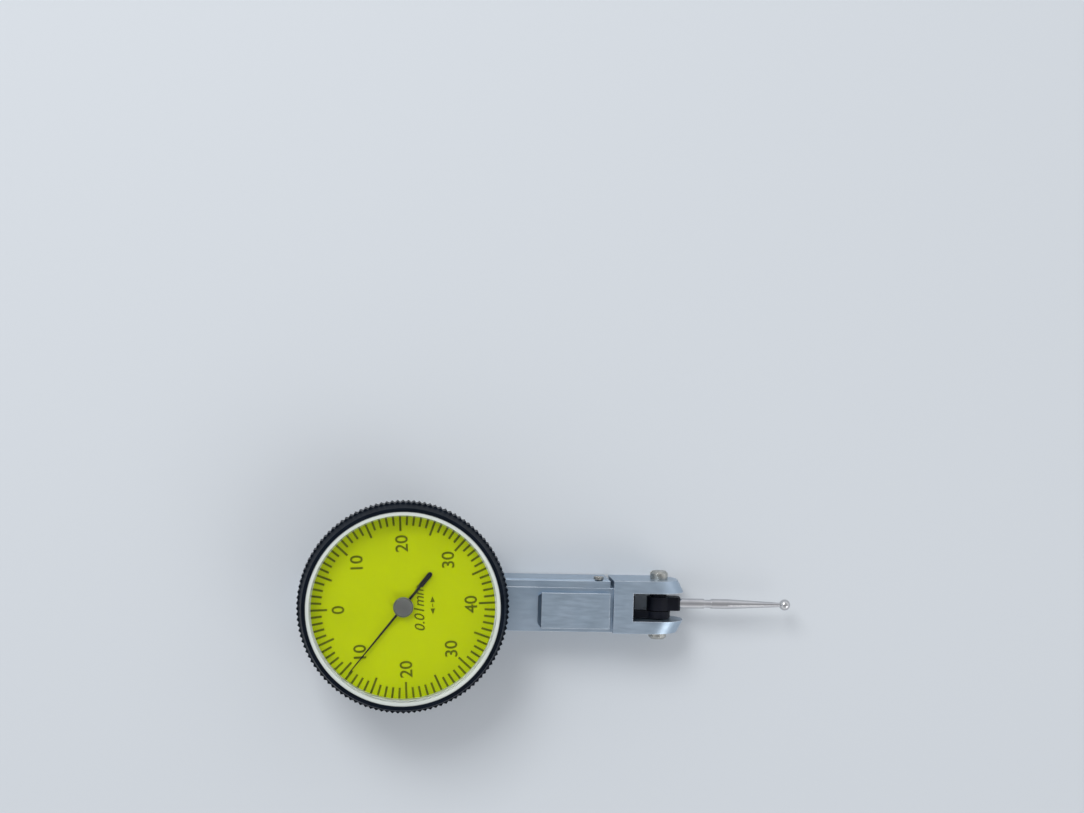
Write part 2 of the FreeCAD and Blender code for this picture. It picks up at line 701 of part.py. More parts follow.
def make_jewels():
    """The four bearings of the two arbors."""
    lower = collar("centre_jewel_lower", "jewel_radius", JEWEL_HOLE, "cock_thickness",
                   depth="cock_thickness - jewel_floor")
    locate(lower, z=COCK_BOTTOM)
    upper = collar("centre_jewel_upper", "upper_jewel_radius", "arbor_radius + running_gap",
                   "bridge_thickness")
    locate(upper, z=BRIDGE_BOTTOM)
    front = collar("crown_jewel", "crown_jewel_radius", JEWEL_HOLE, JEWEL_DEPTH,
                   depth=f"{JEWEL_DEPTH} - jewel_end")
    locate(front, DOWN_Y, "0", f"cover_plane + {JEWEL_DEPTH}", "pivot_height")
    plug = collar("crown_bearing_plug", "bearing_plug_radius", JEWEL_HOLE, "plug_length",
                  depth="plug_length / 2")
    cut_prism(plug, "top", f"-{PAST}", "plug_slot_depth", rectangle(
        "-2 * bearing_plug_radius", "-screw_slot / 2", "2 * bearing_plug_radius", "screw_slot / 2"))
    locate(plug, ALONG_Y, "0", f"-{INNER_WALL} - plug_length", "pivot_height")


def make_pivot_screws():
    """The two cup ended screws that carry the lever between the tines."""
    cup = "(lever_pin_radius + running_gap)"
    length = f"(bar_half_width - {SLOT_SIDE})"
    profile = [
        (cup, f"-{length}"), ("pivot_screw_radius", f"-{length}"), ("pivot_screw_radius", "0"),
        ("pivot_head_radius", "0"), ("pivot_head_radius", "pivot_head_height - pivot_head_slope"),
        ("pivot_head_radius - pivot_head_slope", "pivot_head_height"), ("0", "pivot_head_height"),
        ("0", f"-{length} + cup_depth"), (cup, f"-{length} + cup_depth")]
    for label, rotation, place in (
            ("pivot_screw_cover_side", ALONG_Y, "bar_half_width"),
            ("pivot_screw_plain_side", DOWN_Y, "-bar_half_width")):
        body = turned(label, profile)
        cut_prism(body, "top", "pivot_head_height - pivot_slot_depth", "pivot_head_height", rectangle(
            "-2 * pivot_head_radius", "-screw_slot", "2 * pivot_head_radius", "screw_slot"))
        locate(body, rotation, PIVOT, place, "pivot_height")


def make_bezel():
    """The knurled bezel with the seats of the crystal and dial and the snap ring's groove."""
    groove_low = f"{GROOVE_HEIGHT} - ring_wire_radius - ring_play"
    groove_high = f"{GROOVE_HEIGHT} + ring_wire_radius + ring_play"
    groove_root = f"{CASE_RIM} + ring_wire_radius + 2 * ring_play"
    bore = f"({CASE_RIM} + bezel_fit)"
    neck = "bezel_radius - knurl_depth - knurl_neck"
    body = turned("bezel", [
        (bore, BEZEL_BOTTOM), ("bezel_radius", BEZEL_BOTTOM), ("bezel_radius", BEZEL_SHOULDER),
        (neck, BEZEL_SHOULDER), (BEZEL_FRONT, BEZEL_TOP), (BEZEL_BORE, BEZEL_TOP),
        (BEZEL_BORE, DIAL_BOTTOM), (bore, DIAL_BOTTOM), (bore, groove_high),
        (groove_root, groove_high), (groove_root, groove_low), (bore, groove_low)])
    half = f"bezel_radius * {round(KNURL_OVERLAP * math.pi, 5)} / knurl_count"
    cut = cut_prism(body, "top", BEZEL_BOTTOM, BEZEL_SHOULDER, [
        ("bezel_radius - knurl_depth", "0"), ("bezel_radius", half), (f"bezel_radius + {PAST}", half),
        (f"bezel_radius + {PAST}", f"-{half}"), ("bezel_radius", f"-{half}")])
    repeat_round(body, cut, "knurl_count")
    low, high = f"{GROOVE_HEIGHT} - ring_wire_radius", f"{GROOVE_HEIGHT} + ring_wire_radius"
    outline = rectangle(f"{CASE_RIM} - ring_wire_radius + ring_seat_gap", low,
                        f"{CASE_RIM} + ring_wire_radius", high)
    ring = turned("bezel_snap_ring", outline, size("ring_span"))
    locate(ring, FreeCAD.Rotation(FreeCAD.Vector(0, 0, 1), size("ring_gap_place")))


def make_dial():
    """The dial plate, the pale ring on it and the crystal over both."""
    turned("dial", rectangle("dial_hole", DIAL_BOTTOM, BEZEL_BORE, DIAL_TOP))
    turned("dial_ring", rectangle(DIAL_WINDOW, DIAL_TOP, BEZEL_BORE, RING_TOP))
    turned("crystal", rectangle("0", RING_TOP, BEZEL_BORE, f"{RING_TOP} + crystal_thickness"))


def make_lever():
    """The cranked lever on its pin, with the riveted toothed sector."""
    body = new_body("lever_arm")
    front = f"({PIVOT} - cross_front)"
    back = f"({PIVOT} - cross_back)"
    add_prism(body, "side", "-cheek_outer", "-cheek_inner", circles=[
        (PIVOT, "pivot_height", "cheek_radius")])
    low, high = "pivot_height - lever_half_front", "pivot_height + lever_half_front"
    add_prism(body, "side", "-cheek_outer", "-cheek_inner", rectangle(back, low, PIVOT, high))
    add_prism(body, "side", f"-cheek_inner - {PAST}", LEVER_FAR, rectangle(back, low, front, high))
    add_prism(body, "side", "lever_offset", LEVER_FAR, [
        ("lever_tail", "pivot_height - lever_half_rear"), (f"{back} + {SUNK}", low),
        (f"{back} + {SUNK}", high), ("lever_tail", "pivot_height + lever_half_rear")])
    cut_prism(body, "side", "-cheek_outer", "-cheek_inner", circles=[
        (PIVOT, "pivot_height", "lever_pin_radius")])
    rivets = [("lever_tail + rivet_first", "pivot_height"), ("lever_tail + rivet_second", "pivot_height")]
    rivet_length = "lever_thickness + sector_thickness + rivet_head_height"
    for x, z in rivets:
        cut_prism(body, "side", "lever_offset", LEVER_FAR, many_sided(x, z, "rivet_radius", 12))
    group("sector_rivets", [
        rod(f"sector_rivet_{number}", "rivet_radius", rivet_length, 12, ALONG_Y, x, "lever_offset", z)
        for number, (x, z) in enumerate(rivets)])
    make_sector(rivets)
    half = f"({SLOT_SIDE} + cup_depth - end_gap)"
    pin = turned("lever_pin", rectangle("0", f"-{half}", "lever_pin_radius", half))
    locate(pin, ALONG_Y, PIVOT, "0", "pivot_height")
    washer = collar("friction_washer", "washer_radius", "lever_pin_radius", "washer_thickness")
    locate(washer, ALONG_Y, PIVOT, "-cheek_inner", "pivot_height")
    far = f"(-({BLOCK_NEAR}) + 2 * block_half + running_gap)"
    nut = collar("clutch_nut", "nut_radius", "lever_pin_radius", "nut_thickness")
    cut_prism(nut, "top", "nut_thickness - nut_slot_depth", "nut_thickness", rectangle(
        "-2 * nut_radius", "-screw_slot", "2 * nut_radius", "screw_slot"))
    locate(nut, ALONG_Y, PIVOT, far, "pivot_height")


def make_sector(rivets):
    """The toothed sector: straight sided teeth on an arc about the lever's pin."""
    radius = size(SECTOR_RADIUS)
    module = size("lever_module")
    teeth = int(size("sector_teeth"))
    step = 2 * math.pi / size("sector_count")
    lean = math.tan(PRESSURE_ANGLE)
    thin = TOOTH_SHARE * math.pi * module / 2
    tip, root = ADDENDUM * module, -DEDENDUM * module
    points = []
    for tooth in range(teeth):
        middle = (tooth - (teeth - 1) / 2) * step
        for rise, half in ((root, thin - root * lean), (tip, thin - tip * lean)):
            points.append((radius + rise, middle - half / radius))
        for rise, half in ((tip, thin - tip * lean), (root, thin - root * lean)):
            points.append((radius + rise, middle + half / radius))
    pivot, height = size(PIVOT), size("pivot_height")
    outline = [FreeCAD.Vector(pivot - reach * math.cos(angle), height + reach * math.sin(angle), 0)
               for reach, angle in points]
    below = [("lever_tail + sector_tail", "lever_half_rear"), ("lever_tail - sector_neck", "lever_half_rear"),
             ("lever_tail - sector_spread", "sector_shoulder")]
    outline += [FreeCAD.Vector(size(across), height + size(up), 0) for across, up in reversed(below)]
    outline += [FreeCAD.Vector(size(across), height - size(up), 0) for across, up in below]
    plate = polygon_prism(outline, size("sector_thickness"))
    for x, z in rivets:
        corners = [FreeCAD.Vector(size(across), size(up), 0)
                   for across, up in many_sided(x, z, "rivet_radius", 12)]
        plate = plate.cut(polygon_prism(corners, size("sector_thickness")))
    shaped("sector_gear", plate, DOWN_Y, y=SECTOR_FAR)


def make_crown():
    """The cross arbor with the pinion that the sector drives and the contrate wheel."""
    end = f"(cover_plane + {JEWEL_DEPTH} - jewel_end - end_gap)"
    start = f"(-{INNER_WALL} - plug_length / 2 + end_gap)"
    leaves = int(size("crown_leaves"))
    outline = pinion_outline(leaves, size("lever_module"), math.pi / leaves)
    pinion = polygon_prism(outline, size("crown_pinion_width"))
    low = size(f"{LEVER_FAR} + sector_thickness / 2 - crown_pinion_width / 2")
    pinion.translate(FreeCAD.Vector(0, 0, low))
    shaft = stepped_shaft(16, [
        ("arbor_pivot_radius", start, f"-{INNER_WALL} + end_gap"),
        ("arbor_radius", f"-{INNER_WALL} + end_gap", "cover_plane - end_gap"),
        ("arbor_pivot_radius", "cover_plane - end_gap", end)])
    shaped("crown_arbor", pinion.fuse(shaft), ALONG_Y, z="pivot_height")
    roots = f"(-({WHEEL_PLANE}) - {DEDENDUM} * centre_module)"
    back = f"({roots} - wheel_rim)"
    wheel = turned("crown_wheel", [
        ("arbor_radius", back), (WHEEL_OUTSIDE, back), (WHEEL_OUTSIDE, roots), (WHEEL_INNER_RIM, roots),
        (WHEEL_INNER_RIM, f"{back} + wheel_web"), ("arbor_radius", f"{back} + wheel_web")])
    hole = cut_prism(wheel, "top", back, f"{back} + wheel_web", many_sided(
        f"(arbor_radius + {WHEEL_INNER_RIM}) / 2", "0", "wheel_hole_radius"))
    repeat_round(wheel, hole, "wheel_holes")
    lean = math.tan(PRESSURE_ANGLE)
    wide = f"{round(TOOTH_SHARE * math.pi / 2 + DEDENDUM * lean, 5)} * centre_module"
    narrow = f"{round(TOOTH_SHARE * math.pi / 2 - ADDENDUM * lean, 5)} * centre_module"
    tips = f"{roots} + {ADDENDUM + DEDENDUM} * centre_module"
    tooth = add_prism(wheel, "end", f"{WHEEL_INSIDE} + tooth_inset", f"{WHEEL_OUTSIDE} - tooth_inset", [
        (f"-{wide}", roots), (wide, roots), (narrow, tips), (f"-{narrow}", tips)])
    repeat_round(wheel, tooth, "wheel_teeth")
    turn = FreeCAD.Rotation(FreeCAD.Vector(0, 0, 1), -90)
    locate(wheel, ALONG_Y.multiply(turn), z="pivot_height")


def make_centre():
    """The upright arbor with its pinion, the hairspring on it and the pointer."""
    foot = f"({COCK_BOTTOM} + jewel_floor + end_gap)"
    collar_level = f"({COCK_TOP} + end_gap / 2)"
    head = f"({HUB_BOTTOM} + hub_height - hub_cap)"
    leaves = int(size("centre_leaves"))
    low, high = size(PINION_LOW), size(PINION_HIGH)
    first = -math.pi / 2 + math.pi / leaves
    pinion = polygon_prism(pinion_outline(leaves, size("centre_module"), first), high - low)
    pinion.translate(FreeCAD.Vector(0, 0, low))
    stem = stepped_shaft(16, [
        ("arbor_pivot_radius", foot, collar_level), ("arbor_radius", collar_level, head)])
    shaped("centre_arbor", pinion.fuse(stem))
    locate(collar("hairspring_collet", "collet_radius", "arbor_radius", "collet_height"), z=COLLET_BOTTOM)
    make_hairspring()
    pointer = new_body("pointer")
    one_side = [
        (POINTER_LENGTH, "pointer_tip / 8"), (f"{POINTER_LENGTH} - pointer_point", "pointer_tip / 2"),
        ("0", "pointer_root / 2"), ("-tail_start", "pointer_root / 2"),
        ("-tail_start - tail_slope", "tail_width / 2"), ("-tail_length + tail_end", "tail_width / 2"),
        ("-tail_length", "tail_width / 4")]
    add_prism(pointer, "top", POINTER_BOTTOM, HUB_BOTTOM, one_side + [
        (across, f"-{up}") for across, up in reversed(one_side)])
    add_prism(pointer, "top", POINTER_BOTTOM, HUB_BOTTOM, circles=[("0", "0", "pointer_disc")])
    cut_prism(pointer, "top", POINTER_BOTTOM, HUB_BOTTOM, many_sided(
        "0", "0", "(arbor_radius + running_gap)", 16))
    locate(pointer, FreeCAD.Rotation(FreeCAD.Vector(0, 0, 1), size("pointer_angle")))
    top = f"{HUB_BOTTOM} + hub_height"
    turned("pointer_hub", [
        ("0", head), ("arbor_radius", head), ("arbor_radius", HUB_BOTTOM), ("hub_radius", HUB_BOTTOM),
        ("hub_radius", f"{top} - hub_edge"), ("hub_radius - hub_edge", top), ("0", top)])


def make_hairspring():
    """A flat spiral strip from beside the collet out to a stud under the bridge."""
    turns = int(size("hairspring_turns"))
    sides = 16
    inner = size("collet_radius + hairspring_start")
    outer = size("hairspring_radius")
    half = size("hairspring_strip") / 2
    course = []
    for step in range(turns * sides + 1):
        share = step / (turns * sides)
        course.append((inner + (outer - inner) * share, 2 * math.pi * turns * share))
    points = [polar(radius + half, angle) for radius, angle in course]
    points += [polar(radius - half, angle) for radius, angle in reversed(course)]
    level = f"{COLLET_BOTTOM} + (collet_height - hairspring_height) / 2"
    shaped("hairspring", polygon_prism(points, size("hairspring_height")), z=level)
    stud = new_body("hairspring_stud")
    near = "hairspring_radius - hairspring_strip"
    add_prism(stud, "top", f"{level} - {PAST}", BRIDGE_BOTTOM, rectangle(
        near, "-stud_size / 2", f"{near} + stud_size", "stud_size / 2"))
    cut_prism(stud, "top", f"{level} - {PAST}", f"{level} + hairspring_height", rectangle(
        f"{near} - {PAST}", "-stud_size", "hairspring_radius + hairspring_strip / 2", "stud_size"))


def make_stylus():
    """The swivel block clamped on the lever's pin, and the stylus screwed into it."""
    near = f"(-({BLOCK_NEAR}))"
    far = f"({near} + 2 * block_half)"
    middle = f"({near} + block_half)"
    body = new_body("swivel_block")
    add_prism(body, "side", near, far, circles=[(PIVOT, "pivot_height", "block_radius")])
    nose = f"({PIVOT} + block_nose)"
    low, high = "pivot_height - block_nose_half", "pivot_height + block_nose_half"
    add_prism(body, "side", near, far, [
        (PIVOT, low), (f"{nose} - block_nose_slope", low), (nose, f"{low} + block_nose_slope"),
        (nose, f"{high} - block_nose_slope"), (f"{nose} - block_nose_slope", high), (PIVOT, high)])
    cut_prism(body, "side", near, far, circles=[
        (PIVOT, "pivot_height", "lever_pin_radius + running_gap")])
    cut_prism(body, "end", f"{nose} - stud_length", nose, circles=[(middle, "pivot_height", "stud_radius")])
    neck = "shank_first + neck_length"
    taper = f"{neck} + shank_second"
    end = f"{taper} + taper_length"
    shank = turned("stylus", [
        ("0", "-stud_length"), ("stud_radius", "-stud_length"), ("stud_radius", "0"), ("shank_radius", "0"),
        ("shank_radius", "shank_first"), ("neck_radius", "shank_first"), ("neck_radius", neck),
        ("shank_radius", neck), ("shank_radius", taper), ("taper_end_radius", end), ("0", end)])
    locate(shank, ALONG_X, nose, middle, "pivot_height")
    ball = doc.addObject("Part::Sphere", "contact_ball")
    ball.setExpression("Radius", bound("ball_radius"))
    ball.setExpression("Angle1", bound("-acos(taper_end_radius / ball_radius)"))
    locate(ball, ALONG_X, f"{nose} + {end} + sqrt(pow(ball_radius; 2) - pow(taper_end_radius; 2))", middle,
           "pivot_height")
    sub_parts.append(ball)


def check_model():
    """Stop if any object failed or any sub-part is not a sound solid."""
    doc.recompute()
    failed = [item.Label for item in doc.Objects if {"Invalid", "Error"} & set(item.State)]
    failed += [piece.Label for piece in sub_parts if piece.Shape.isNull() or not piece.Shape.isValid()]
    if failed:
        raise RuntimeError("failed: " + ", ".join(failed))


def write_parts():
    os.makedirs("parts", exist_ok=True)
    for piece in sub_parts:
        piece.Shape.exportStep(f"parts/{piece.Label}.step")
        print(piece.Label, len(piece.Shape.Solids), round(piece.Shape.Volume, 3))


make_bar()
make_side_cover()
make_lower_cock()
make_case()
make_upper_bridge()
make_jewels()
make_pivot_screws()
make_bezel()
make_dial()
make_lever()
make_crown()
make_centre()
make_stylus()
check_model()
write_parts()
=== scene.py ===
import json
import math

import bmesh
import bpy
from mathutils import Matrix, Vector

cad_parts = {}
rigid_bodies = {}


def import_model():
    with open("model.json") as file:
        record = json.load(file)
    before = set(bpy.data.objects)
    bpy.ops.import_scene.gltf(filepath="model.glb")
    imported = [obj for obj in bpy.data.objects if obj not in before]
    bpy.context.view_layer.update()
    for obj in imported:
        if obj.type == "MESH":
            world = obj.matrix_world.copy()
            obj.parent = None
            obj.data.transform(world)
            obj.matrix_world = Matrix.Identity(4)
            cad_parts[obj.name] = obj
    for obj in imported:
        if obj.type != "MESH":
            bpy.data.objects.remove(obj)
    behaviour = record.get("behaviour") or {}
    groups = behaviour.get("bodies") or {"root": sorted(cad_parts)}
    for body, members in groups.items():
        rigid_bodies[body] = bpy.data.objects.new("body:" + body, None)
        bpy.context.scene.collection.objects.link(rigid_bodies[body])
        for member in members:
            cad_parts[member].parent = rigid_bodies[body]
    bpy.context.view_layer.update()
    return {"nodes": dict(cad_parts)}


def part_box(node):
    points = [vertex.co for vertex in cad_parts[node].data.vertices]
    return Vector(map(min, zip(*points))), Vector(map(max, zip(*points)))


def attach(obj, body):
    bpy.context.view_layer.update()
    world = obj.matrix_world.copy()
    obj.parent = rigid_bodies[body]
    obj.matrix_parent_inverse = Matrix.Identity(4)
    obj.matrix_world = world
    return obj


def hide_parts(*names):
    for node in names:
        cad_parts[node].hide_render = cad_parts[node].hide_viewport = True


for leftover in list(bpy.data.objects):
    bpy.data.objects.remove(leftover)
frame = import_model()

# Millimetres to the scene's metres
MM = 0.001


# Materials

BEVEL_SAMPLES = 6
# Edge wear and the painted edge highlight begin and are full where an edge turns by the angles with
# these cosines
WEAR_AND_SHEEN_TURN = (0.995, 0.9)
WEAR_AND_SHEEN_PATCHES = (0.3, 0.6)
WEAR_AND_SHEEN_LEAST = 0.45
MOTTLE_SCALE = 0.35
MOTTLE_DETAIL = 5.0
MOTTLE_RANGE = (0.35, 0.65)
SMUDGE_SCALE = 95
SMUDGE_ROUGHNESS = 0.6
SMUDGE_RANGE = (0.52, 0.72)
GRAIN_SCALE = 4
GRAIN_RANGE = (0.3, 0.7)
FINE_DETAIL = 3.0
# Lower than real glass, so that the crystal mirrors and bends less
CRYSTAL_IOR = 1.2
SMEAR_SCALE = 60
SMEAR_RANGE = (0.45, 0.75)
SMEAR_ROUGHNESS = 0.02
# The mix node has sockets of one name for each kind of data, so those for colours go by number
MIX_FACTOR = 0
MIX_FIRST = 6
MIX_SECOND = 7
MIX_RESULT = 2


def sheet_rgb(red, green, blue):
    """A colour given as on a screen, 0 to 255, as the linear values that shaders take."""
    linear = []
    for value in (red, green, blue):
        share = value / 255
        linear.append(share / 12.92 if share <= 0.04045 else ((share + 0.055) / 1.055) ** 2.4)
    return (*linear, 1.0)


def add_node(tree, kind, settings=None, **values):
    """A shader node with its settings and the values of its named inputs."""
    made = tree.nodes.new(kind)
    for name, value in (settings or {}).items():
        setattr(made, name, value)
    for name, value in values.items():
        made.inputs[name.replace("_", " ")].default_value = value
    return made


def link(tree, source, output, target, entry):
    """Join an output of one node to an input of another, each given by its name or number."""
    tree.links.new(source.outputs[output], target.inputs[entry])


def object_noise(tree, scale, detail, stretch=(1, 1, 1), roughness=0.55):
    """Noise in the piece's own coordinates, so that it moves with the piece."""
    place = add_node(tree, "ShaderNodeTexCoord")
    mapping = add_node(tree, "ShaderNodeMapping", Scale=stretch)
    noise = add_node(tree, "ShaderNodeTexNoise", Scale=scale, Detail=detail, Roughness=roughness)
    link(tree, place, "Object", mapping, "Vector")
    link(tree, mapping, "Vector", noise, "Vector")
    return noise


def spread(tree, source, output, taken, given=(0.0, 1.0)):
    """Map one range of a value to another."""
    ranged = add_node(tree, "ShaderNodeMapRange",
                      From_Min=taken[0], From_Max=taken[1], To_Min=given[0], To_Max=given[1])
    link(tree, source, output, ranged, "Value")
    return ranged


def blend_colours(tree, factor, output, first, second):
    """Mix two colours by a factor. Either colour is a value or another mix."""
    mix = add_node(tree, "ShaderNodeMix", {"data_type": "RGBA"})
    link(tree, factor, output, mix, MIX_FACTOR)
    for colour, entry in ((first, MIX_FIRST), (second, MIX_SECOND)):
        if isinstance(colour, tuple):
            mix.inputs[entry].default_value = colour
        else:
            link(tree, colour, MIX_RESULT, mix, entry)
    return mix


def worn_and_highlit_edges(tree, mottle, relief, width):
    """A factor that is high where the surface turns sharply, in patches: edge wear as handling leaves
    it, and a painted highlight along edges.
    """
    rounded = add_node(tree, "ShaderNodeBevel", {"samples": BEVEL_SAMPLES}, Radius=width * MM)
    link(tree, rounded, "Normal", relief, "Normal")
    geometry = add_node(tree, "ShaderNodeNewGeometry")
    across = add_node(tree, "ShaderNodeVectorMath", {"operation": "DOT_PRODUCT"})
    link(tree, rounded, "Normal", across, 0)
    link(tree, geometry, "Normal", across, 1)
    turned = spread(tree, across, "Value", WEAR_AND_SHEEN_TURN)
    patchy = spread(tree, mottle, "Fac", WEAR_AND_SHEEN_PATCHES, (WEAR_AND_SHEEN_LEAST, 1.0))
    wear_and_highlight = add_node(tree, "ShaderNodeMath", {"operation": "MULTIPLY"})
    link(tree, turned, "Result", wear_and_highlight, 0)
    link(tree, patchy, "Result", wear_and_highlight, 1)
    return wear_and_highlight


def surface(name, colour, other, roughness, metallic=0.0, vary=0.06, scale=900, stretch=(1, 1, 1),
            bump=0.08, depth=0.006, edge=None, edge_width=0.06, smudge=None, **shader_values):
    """A finish: mottled colour, uneven gloss, fine grain and, where given, smudges and worn edges with a
    painted edge highlight.
    """
    material = bpy.data.materials.new(name)
    material.use_nodes = True
    tree = material.node_tree
    tree.nodes.clear()
    output = add_node(tree, "ShaderNodeOutputMaterial")
    shader = add_node(tree, "ShaderNodeBsdfPrincipled", Metallic=metallic, **shader_values)
    link(tree, shader, "BSDF", output, "Surface")
    mottle = object_noise(tree, scale * MOTTLE_SCALE, MOTTLE_DETAIL)
    share = spread(tree, mottle, "Fac", MOTTLE_RANGE)
    tint = blend_colours(tree, share, "Result", colour, other)
    if smudge:
        touched = object_noise(tree, SMUDGE_SCALE, FINE_DETAIL, roughness=SMUDGE_ROUGHNESS)
        marked = spread(tree, touched, "Fac", SMUDGE_RANGE)
        tint = blend_colours(tree, marked, "Result", tint, smudge)
    grain = object_noise(tree, scale * GRAIN_SCALE, FINE_DETAIL, stretch)
    gloss = spread(tree, grain, "Fac", GRAIN_RANGE, (roughness - vary, roughness + vary))
    link(tree, gloss, "Result", shader, "Roughness")
    relief = add_node(tree, "ShaderNodeBump", Strength=bump, Distance=depth * MM)
    link(tree, grain, "Fac", relief, "Height")
    # The edge colour is partly edge wear and partly a painted highlight along edges
    if edge:
        wear_and_highlight = worn_and_highlit_edges(tree, mottle, relief, edge_width)
        tint = blend_colours(tree, wear_and_highlight, "Value", tint, edge)
    link(tree, tint, MIX_RESULT, shader, "Base Color")
    link(tree, relief, "Normal", shader, "Normal")
    return material


# Each finish: two colours that mottle it, its roughness, then how it differs from the plain one
# The edge colour of a finish is partly wear and partly a painted highlight along its edges
FINISHES = {
    "satin_chrome": dict(
        colour=(0.43, 0.52, 0.62, 1), other=(0.38, 0.47, 0.56, 1), roughness=0.36, metallic=1.0,
        vary=0.07, scale=500, stretch=(0.15, 1, 1), bump=0.10, edge=(0.86, 0.90, 0.94, 1),
        edge_width=0.12, smudge=(0.34, 0.43, 0.53, 1)),
    "bezel_black": dict(
        colour=(0.003, 0.005, 0.009, 1), other=(0.005, 0.008, 0.014, 1), roughness=0.38,
        vary=0.08, bump=0.12, depth=0.008, edge=(0.016, 0.026, 0.040, 1), Specular_IOR_Level=0.04),
    "case_metal": dict(
        colour=(0.40, 0.42, 0.45, 1), other=(0.34, 0.36, 0.39, 1), roughness=0.36, metallic=1.0,
        scale=600, edge=(0.7, 0.72, 0.75, 1), edge_width=0.08),
    "screw_steel": dict(
        colour=(0.47, 0.47, 0.44, 1), other=(0.32, 0.32, 0.30, 1), roughness=0.25, metallic=1.0,
        vary=0.08, bump=0.10, edge=(0.82, 0.81, 0.77, 1), edge_width=0.07),
    "brass": dict(
        colour=(0.66, 0.46, 0.19, 1), other=(0.58, 0.39, 0.15, 1), roughness=0.26, metallic=1.0,
        edge=(0.86, 0.68, 0.36, 1), edge_width=0.04),
    "jewel": dict(
        colour=(0.36, 0.008, 0.03, 1), other=(0.26, 0.004, 0.02, 1), roughness=0.10,
        vary=0.03, bump=0.02),
    "spring_bronze": dict(
        colour=(0.52, 0.33, 0.17, 1), other=(0.44, 0.28, 0.15, 1), roughness=0.28, metallic=1.0,
        scale=1200),
    "dial_yellow": dict(
        colour=sheet_rgb(200, 216, 4), other=sheet_rgb(193, 210, 0), roughness=0.5,
        scale=160, bump=0.04, Specular_IOR_Level=0.05),
    "ring_grey": dict(
        colour=sheet_rgb(205, 211, 204), other=sheet_rgb(192, 198, 193), roughness=0.45,
        scale=300, bump=0.05, edge=sheet_rgb(222, 227, 221)),
    "pointer_black": dict(
        colour=(0.004, 0.004, 0.005, 1), other=(0.008, 0.008, 0.009, 1), roughness=0.4,
        bump=0.05, edge=(0.02, 0.02, 0.024, 1), edge_width=0.03, Specular_IOR_Level=0.3),
    "hub_grey": dict(
        colour=sheet_rgb(112, 113, 110), other=sheet_rgb(100, 102, 100), roughness=0.38,
        metallic=0.2, edge=sheet_rgb(158, 164, 164)),
    "swivel_black": dict(
        colour=(0.005, 0.006, 0.010, 1), other=(0.009, 0.010, 0.016, 1), roughness=0.42,
        vary=0.08, bump=0.12, depth=0.008, edge=(0.035, 0.040, 0.052, 1), Specular_IOR_Level=0.12),
    "polished_steel": dict(
        colour=(0.60, 0.60, 0.61, 1), other=(0.50, 0.50, 0.52, 1), roughness=0.14, metallic=1.0,
        vary=0.05, scale=500, stretch=(8, 0.5, 0.5), bump=0.05, depth=0.003,
        edge=(0.85, 0.85, 0.86, 1), edge_width=0.05),
    "carbide": dict(
        colour=(0.56, 0.56, 0.57, 1), other=(0.50, 0.50, 0.52, 1), roughness=0.10, metallic=1.0,
        vary=0.02, bump=0.02, depth=0.001),
    "dial_ink": dict(
        colour=sheet_rgb(92, 103, 4), other=sheet_rgb(104, 116, 6), roughness=0.5,
        scale=1500, bump=0.03, Specular_IOR_Level=0.08),
}


def clear_glass():
    """The crystal: clear, with a faint smear in its gloss."""
    material = bpy.data.materials.new("clear")
    material.use_nodes = True
    tree = material.node_tree
    shader = tree.nodes["Principled BSDF"]
    shader.inputs["Base Color"].default_value = (1.0, 1.0, 1.0, 1.0)
    shader.inputs["Transmission Weight"].default_value = 1.0
    shader.inputs["IOR"].default_value = CRYSTAL_IOR
    smear = object_noise(tree, SMEAR_SCALE, FINE_DETAIL)
    gloss = spread(tree, smear, "Fac", SMEAR_RANGE, (0.0, SMEAR_ROUGHNESS))
    link(tree, gloss, "Result", shader, "Roughness")
    return material


MATERIALS = {name: surface(name, **finish) for name, finish in FINISHES.items()}
MATERIALS["clear"] = clear_glass()
# What shows in the fork beside the swivel block takes the block's black finish as painted shade for the
# fork's shaded inside, in place of its own finish
PAINTED_SHADE_PARTS = ("lever_arm", "lever_pin", "friction_washer", "clutch_nut")
for name, node in frame["nodes"].items():
    used = "swivel_black" if name in PAINTED_SHADE_PARTS else node.data.materials[0].name.split(".")[0]
    node.data.materials.clear()
    node.data.materials.append(MATERIALS[used])


def add_piece(name, mesh, material, body):
    """Put a mesh in the scene with its finish, riding on a body."""
    piece = bpy.data.objects.new(name, mesh)
    bpy.context.scene.collection.objects.link(piece)
    mesh.materials.append(MATERIALS[material])
    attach(piece, body)
    return piece


# The pale ring and the crystal, in millimetres

LATHE_SIDES = 160
# Vertices that are this near to each other, in metres, are one
SEAM_GAP = 1e-7
RING_FIT = 0.02
RING_FOOT = 16.15
RING_LEDGE = 15.95
RING_BORE = 16.2
RING_RISE = 2.5
RING_DROP = 0.15
RING_EDGE = 0.08
LENS_FIT = 0.03
LENS_EDGE = 0.10
LENS_CROWN = 0.10
LENS_RINGS = 6


